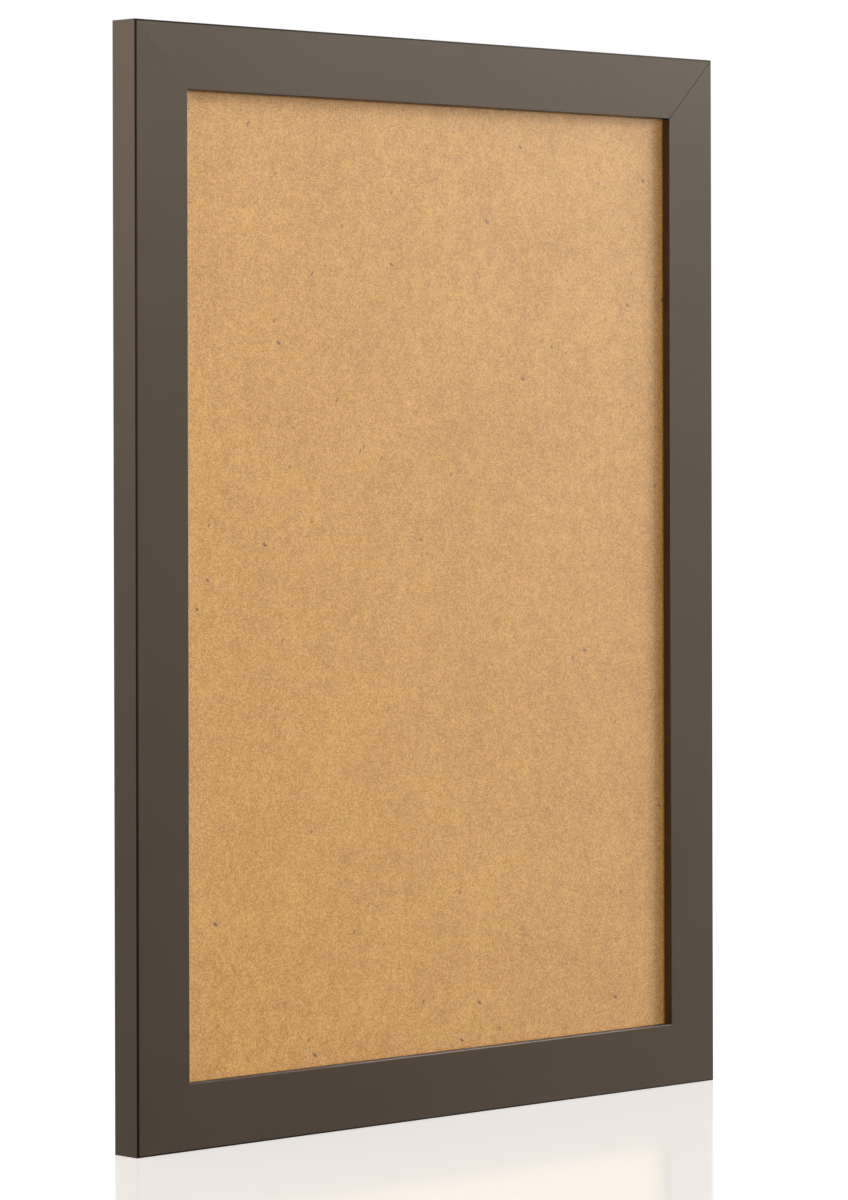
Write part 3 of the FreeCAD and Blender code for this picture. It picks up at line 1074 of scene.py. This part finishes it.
@dataclass
class Hanger:
    """One side's hanger: a folded strap, a D ring and a pan head screw."""

    side: Side
    metal: Material
    screw_metal: Material
    edge: float = 0.06 * MM
    skin: float = 0.1 * MM
    core_share: float = 0.37
    least_head: float = 1.8 * MM
    round_steps: int = 40
    recess_half_width: float = 0.38 * MM
    recess_reach: float = 1.55 * MM
    recess_depth: float = 1.05 * MM
    recess_taper: float = 0.55
    recess_turn: float = 0.5
    thread_pitch: float = 1.1 * MM
    thread_depth: float = 0.35 * MM
    thread_steps: int = 24
    turns: int = 8

    def screw_profile(
        self, shape: bmesh.types.BMesh, head: float, shank: float, points: tuple[float, ...]
    ) -> None:
        """Draws half of the screw's section, from the crown's middle to the point.

        Args:
            shape: The bmesh that receives the line.
            head: The head's radius.
            shank: The core's radius.
            points: The heights of the crown, the head's seat and the tip along y.
        """
        crown, seat, tip = points
        depth = crown - seat
        outline = [
            (0.0, crown),
            (head * 0.62, crown - depth * 0.02),
            (head * 0.82, crown - depth * 0.16),
            (head * 0.95, crown - depth * 0.42),
            (head, crown - depth * 0.72),
            (head * 0.985, seat + depth * 0.03),
            (head * 0.95, seat),
            (shank, seat),
            (shank, tip + shank * 1.8),
            (0.0, tip),
        ]
        verts = [shape.verts.new((radius, y, 0.0)) for radius, y in outline]
        for pair in zip(verts, verts[1:]):
            shape.edges.new(pair)

    def cut_recess(self, shape: bmesh.types.BMesh, crown: float) -> None:
        """Sinks the cross recess into the crown.

        Args:
            shape: The turned screw, with its axis at the origin.
            crown: The height of the crown along y.
        """
        half, reach = self.recess_half_width, self.recess_reach
        for axis in ((1, 0, 0), (0, 0, 1)):
            for place in (-reach, -half, half, reach):
                top = [f for f in shape.faces if f.calc_center_median().y > crown - self.skin]
                bmesh.ops.bisect_plane(
                    shape,
                    geom=with_rims(top),
                    dist=MICRON,
                    plane_co=Vector(axis) * place,
                    plane_no=axis,
                )
        cross = []
        for face in shape.faces:
            x, y, z = face.calc_center_median()
            in_arm = min(abs(x), abs(z)) < half and max(abs(x), abs(z)) < reach
            if in_arm and y > crown - self.skin:
                cross.append(face)
        sunk = bmesh.ops.extrude_face_region(shape, geom=cross)["geom"]
        verts = [part for part in sunk if isinstance(part, bmesh.types.BMVert)]
        bmesh.ops.delete(shape, geom=cross, context="FACES_KEEP_BOUNDARY")
        bmesh.ops.translate(shape, vec=(0, -self.recess_depth, 0), verts=verts)
        bmesh.ops.scale(shape, vec=(self.recess_taper, 1.0, self.recess_taper), verts=verts)

    def cut_thread(self, shape: bmesh.types.BMesh, shank: float, seat: float) -> None:
        """Winds the thread's ridge round the core.

        Args:
            shape: The turned screw, with its axis at the origin.
            shank: The core's radius.
            seat: The height of the head's seat along y.
        """
        half = self.thread_pitch * 0.3
        start = seat - self.thread_pitch * 1.2
        corners = [
            shape.verts.new((shank - self.skin, start + half, 0.0)),
            shape.verts.new((shank + self.thread_depth, start, 0.0)),
            shape.verts.new((shank - self.skin, start - half, 0.0)),
        ]
        section = shape.faces.new(corners)
        bmesh.ops.spin(
            shape,
            geom=[section, *section.edges, *section.verts],
            cent=(0, 0, 0),
            axis=(0, 1, 0),
            dvec=(0, -self.thread_pitch / self.thread_steps, 0),
            angle=2 * math.pi * self.turns,
            steps=self.thread_steps * self.turns,
            use_duplicate=False,
        )

    def build_screw(self) -> bpy.types.Object:
        """Makes the pan head screw, with its cross recess, thread and point.

        Returns:
            The screw.
        """
        node = f"{self.side.word}_hanger_screw"
        low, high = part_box(node)
        axis = (low + high) / 2
        head = (high.x - low.x) / 2
        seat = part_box(f"{self.side.word}_hanger_strap")[1].y
        seat = min(seat, high.y - self.least_head)
        core = head * self.core_share
        shape = bmesh.new()
        self.screw_profile(shape, head, core, (high.y, seat, low.y))
        bmesh.ops.spin(
            shape,
            geom=shape.verts[:] + shape.edges[:],
            cent=(0, 0, 0),
            axis=(0, 1, 0),
            angle=2 * math.pi,
            steps=self.round_steps,
            use_merge=True,
        )
        bmesh.ops.remove_doubles(shape, verts=shape.verts, dist=MICRON)
        bmesh.ops.recalc_face_normals(shape, faces=shape.faces)
        self.cut_recess(shape, high.y)
        self.cut_thread(shape, core, seat)
        bmesh.ops.recalc_face_normals(shape, faces=shape.faces)
        turn = Matrix.Rotation(self.recess_turn * self.side.value, 3, "Y")
        bmesh.ops.rotate(shape, verts=shape.verts, cent=(0, 0, 0), matrix=turn)
        bmesh.ops.translate(shape, vec=(axis.x, 0, axis.z), verts=shape.verts)
        piece = place_mesh(f"{self.side.word}_pan_head_screw", shape, [self.screw_metal])
        shade_by_angle(piece, 35.0)
        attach(piece, "frame")
        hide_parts(node)
        return piece

    def build_strap(self) -> bpy.types.Object:
        """Makes the folded strap, with its punched edges eased.

        Returns:
            The strap.
        """
        node = f"{self.side.word}_hanger_strap"
        shape = merged_copy(node)
        soften(shape, sharp_edges(shape, 60), self.edge)
        piece = place_mesh(f"{self.side.word}_folded_strap", shape, [self.metal])
        shade_by_angle(piece, 35.0)
        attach(piece, "frame")
        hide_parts(node)
        return piece

    def build(self) -> list[bpy.types.Object]:
        """Makes the strap and the screw, and finishes the ring."""
        finish_node(f"{self.side.word}_hanger_ring", self.metal)
        return [self.build_strap(), self.build_screw()]


@dataclass(frozen=True)
class SoftBox:
    """A large soft lamp that looks at the frame."""

    name: str
    place: Place
    size: Span
    power: float
    colour: Colour = (1.0, 1.0, 1.0)

    def light(self, target: Vector) -> None:
        """Hangs the lamp and turns it to the frame.

        Args:
            target: The point that the lamp looks at.
        """
        data = bpy.data.lights.new(self.name, "AREA")
        data.shape = "RECTANGLE"
        data.size, data.size_y = self.size
        data.energy = self.power
        data.color = self.colour
        lamp = add_object(self.name, data)
        place = Vector(self.place)
        turn = (target - place).to_track_quat("-Z", "Y")
        lamp.matrix_world = Matrix.Translation(place) @ turn.to_matrix().to_4x4()


@dataclass(frozen=True)
class SoftGlow:
    """A bright part of the surroundings whose edges fade out."""

    turn: float
    rise: float
    edge: float
    core: float
    strength: float

    def level(self, graph: Graph, direction: Socket) -> Socket:
        """Adds the glow's brightness to the world's graph.

        Args:
            graph: The world's graph.
            direction: The direction looked in.

        Returns:
            The brightness that the glow adds there.
        """
        turn, rise = math.radians(self.turn), math.radians(self.rise)
        toward = (math.sin(turn) * math.cos(rise), -math.cos(turn) * math.cos(rise), math.sin(rise))
        facing = graph.add("VectorMath", {0: direction, 1: toward}, operation="DOT_PRODUCT")
        return graph.remap(facing.outputs["Value"], (self.edge, self.core), (0.0, self.strength))


@dataclass
class Studio:
    """The white room: floor, surroundings, soft lamps and the camera."""

    floor_size: float = 12.0
    floor_colour: Colour = (0.9, 0.87, 0.83)
    floor_light: Colour = (0.80, 0.765, 0.73)
    floor_glow: float = 0.9
    floor_mirror: Colour = (0.27, 0.31, 0.35)
    floor_blur: float = 0.1
    air: Colour = (1.0, 0.965, 0.91)
    sky_heights: Span = (-0.35, 0.4)
    sky_levels: Span = (0.17, 0.45)
    dim_span: Span = (-0.95, -0.5)
    dim_levels: Span = (0.1, 1.0)
    camera_place: Place = (-1.45425, -1.53497, 0.29819)
    camera_turn: float = math.radians(43.40)
    camera_roll: float = -0.0024
    focal_pixels: float = 4874.0
    horizon_row: float = 428.2
    sensor: float = 36.0
    clip: Span = (0.05, 60.0)
    lamps: tuple[SoftBox, ...] = (
        SoftBox("key_box", (2.12, -1.54, 1.6), (1.1, 1.2), 38.0),
        SoftBox("left_box", (-2.3, 1.3, 1.15), (1.6, 1.5), 26.0, (1.0, 0.82, 0.70)),
        SoftBox("front_box", (-0.6, -2.3, 0.5), (1.5, 1.1), 26.0),
    )
    glows: tuple[SoftGlow, ...] = (
        SoftGlow(80.0, 10.0, 0.72, 0.92, 1.22),
        SoftGlow(136.6, 5.0, 0.2, 0.75, 0.75),
        SoftGlow(223.4, 8.0, 0.5, 0.95, 0.3),
    )

    @property
    def ahead(self) -> Vector:
        """The level direction that the camera looks in."""
        return Vector((math.sin(self.camera_turn), math.cos(self.camera_turn), 0.0))

    def build_floor(self) -> None:
        """Lays the pale floor, which mirrors the frame faintly."""
        shape = bmesh.new()
        bmesh.ops.create_grid(shape, x_segments=1, y_segments=1, size=self.floor_size)
        material, graph = new_graph("white_floor")
        sight = graph.add("LightPath").outputs["Is Camera Ray"]
        matt = graph.add("BsdfDiffuse", {"Color": (*self.floor_colour, 1.0)}).outputs[0]
        open_air = graph.add("BsdfTransparent", {"Color": WHITE}).outputs[0]
        glow = graph.add("Emission", {"Color": (*self.floor_light, 1.0)}).outputs[0]
        mirror = graph.add(
            "BsdfGlossy", {"Color": (*self.floor_mirror, 1.0), "Roughness": self.floor_blur}
        )
        white = graph.add("MixShader", {0: self.floor_glow, 1: matt, 2: glow}).outputs[0]
        seen = graph.add("AddShader", {0: white, 1: mirror.outputs[0]}).outputs[0]
        finish_graph(graph, graph.add("MixShader", {0: sight, 1: open_air, 2: seen}).outputs[0])
        floor = place_mesh("floor", shape, [material])
        floor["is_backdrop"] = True

    def build_world(self) -> None:
        """Makes the surroundings: white to the eye, paler above than below as light."""
        world = bpy.data.worlds.new("white_room")
        bpy.context.scene.world = world
        world.use_nodes = True
        graph = Graph(world.node_tree)
        direction = graph.add("TexCoord").outputs["Generated"]
        height = graph.add("SeparateXYZ", {0: direction}).outputs["Z"]
        level = graph.remap(height, self.sky_heights, self.sky_levels)
        facing = graph.add("VectorMath", {0: direction, 1: self.ahead}, operation="DOT_PRODUCT")
        dim = graph.remap(facing.outputs["Value"], self.dim_span, self.dim_levels)
        level = graph.math("MULTIPLY", level, dim)
        for glow in self.glows:
            level = graph.math("ADD", level, glow.level(graph, direction))
        light = graph.add("Background", {"Color": (*self.air, 1.0), "Strength": level})
        seen = graph.add("Background", {"Color": WHITE, "Strength": 1.0})
        sight = graph.add("LightPath").outputs["Is Camera Ray"]
        mixed = graph.add("MixShader", {0: sight, 1: light.outputs[0], 2: seen.outputs[0]})
        graph.add("OutputWorld", {"Surface": mixed.outputs[0]})

    def build_camera(self) -> None:
        """Sets the camera where the photograph was taken from."""
        data = bpy.data.cameras.new("camera")
        data.sensor_width = self.sensor
        data.lens = self.focal_pixels / IMAGE_HEIGHT * data.sensor_width
        data.shift_y = (self.horizon_row - IMAGE_HEIGHT / 2) / IMAGE_HEIGHT
        data.clip_start, data.clip_end = self.clip
        camera = add_object("camera", data)
        level = Vector((self.ahead.y, -self.ahead.x, 0.0))
        upward = Vector((0.0, 0.0, 1.0))
        cos, sin = math.cos(self.camera_roll), math.sin(self.camera_roll)
        right = level * cos + upward * sin
        up = upward * cos - level * sin
        turn = Matrix((right, up, -self.ahead)).transposed().to_4x4()
        camera.matrix_world = Matrix.Translation(Vector(self.camera_place)) @ turn
        bpy.context.scene.camera = camera

    def build(self) -> None:
        """Makes the whole studio."""
        bpy.context.scene.view_settings.view_transform = "Standard"
        low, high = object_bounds()
        self.build_camera()
        self.build_world()
        self.build_floor()
        for lamp in self.lamps:
            lamp.light((low + high) / 2)


def main() -> None:
    """Builds the frame's pieces in order, then the studio."""
    logging.basicConfig(level=logging.INFO, format="%(name)s: %(message)s")
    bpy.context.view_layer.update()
    finishes = Finishes.made(Effects.made())
    assemblies = [
        Moulding(finishes.foil, finishes.crease, finishes.core, finishes.seam),
        Sheets(finishes.glass, finishes.board, finishes.rear),
        Fittings(finishes.nail, finishes.tab),
        *(Hanger(side, finishes.hanger, finishes.screw) for side in Side),
    ]
    for assembly in assemblies:
        for piece in assembly.build():
            log.info("%s: %d faces", piece.name, len(piece.data.polygons))
    Studio().build()


if __name__ == "__main__":
    main()
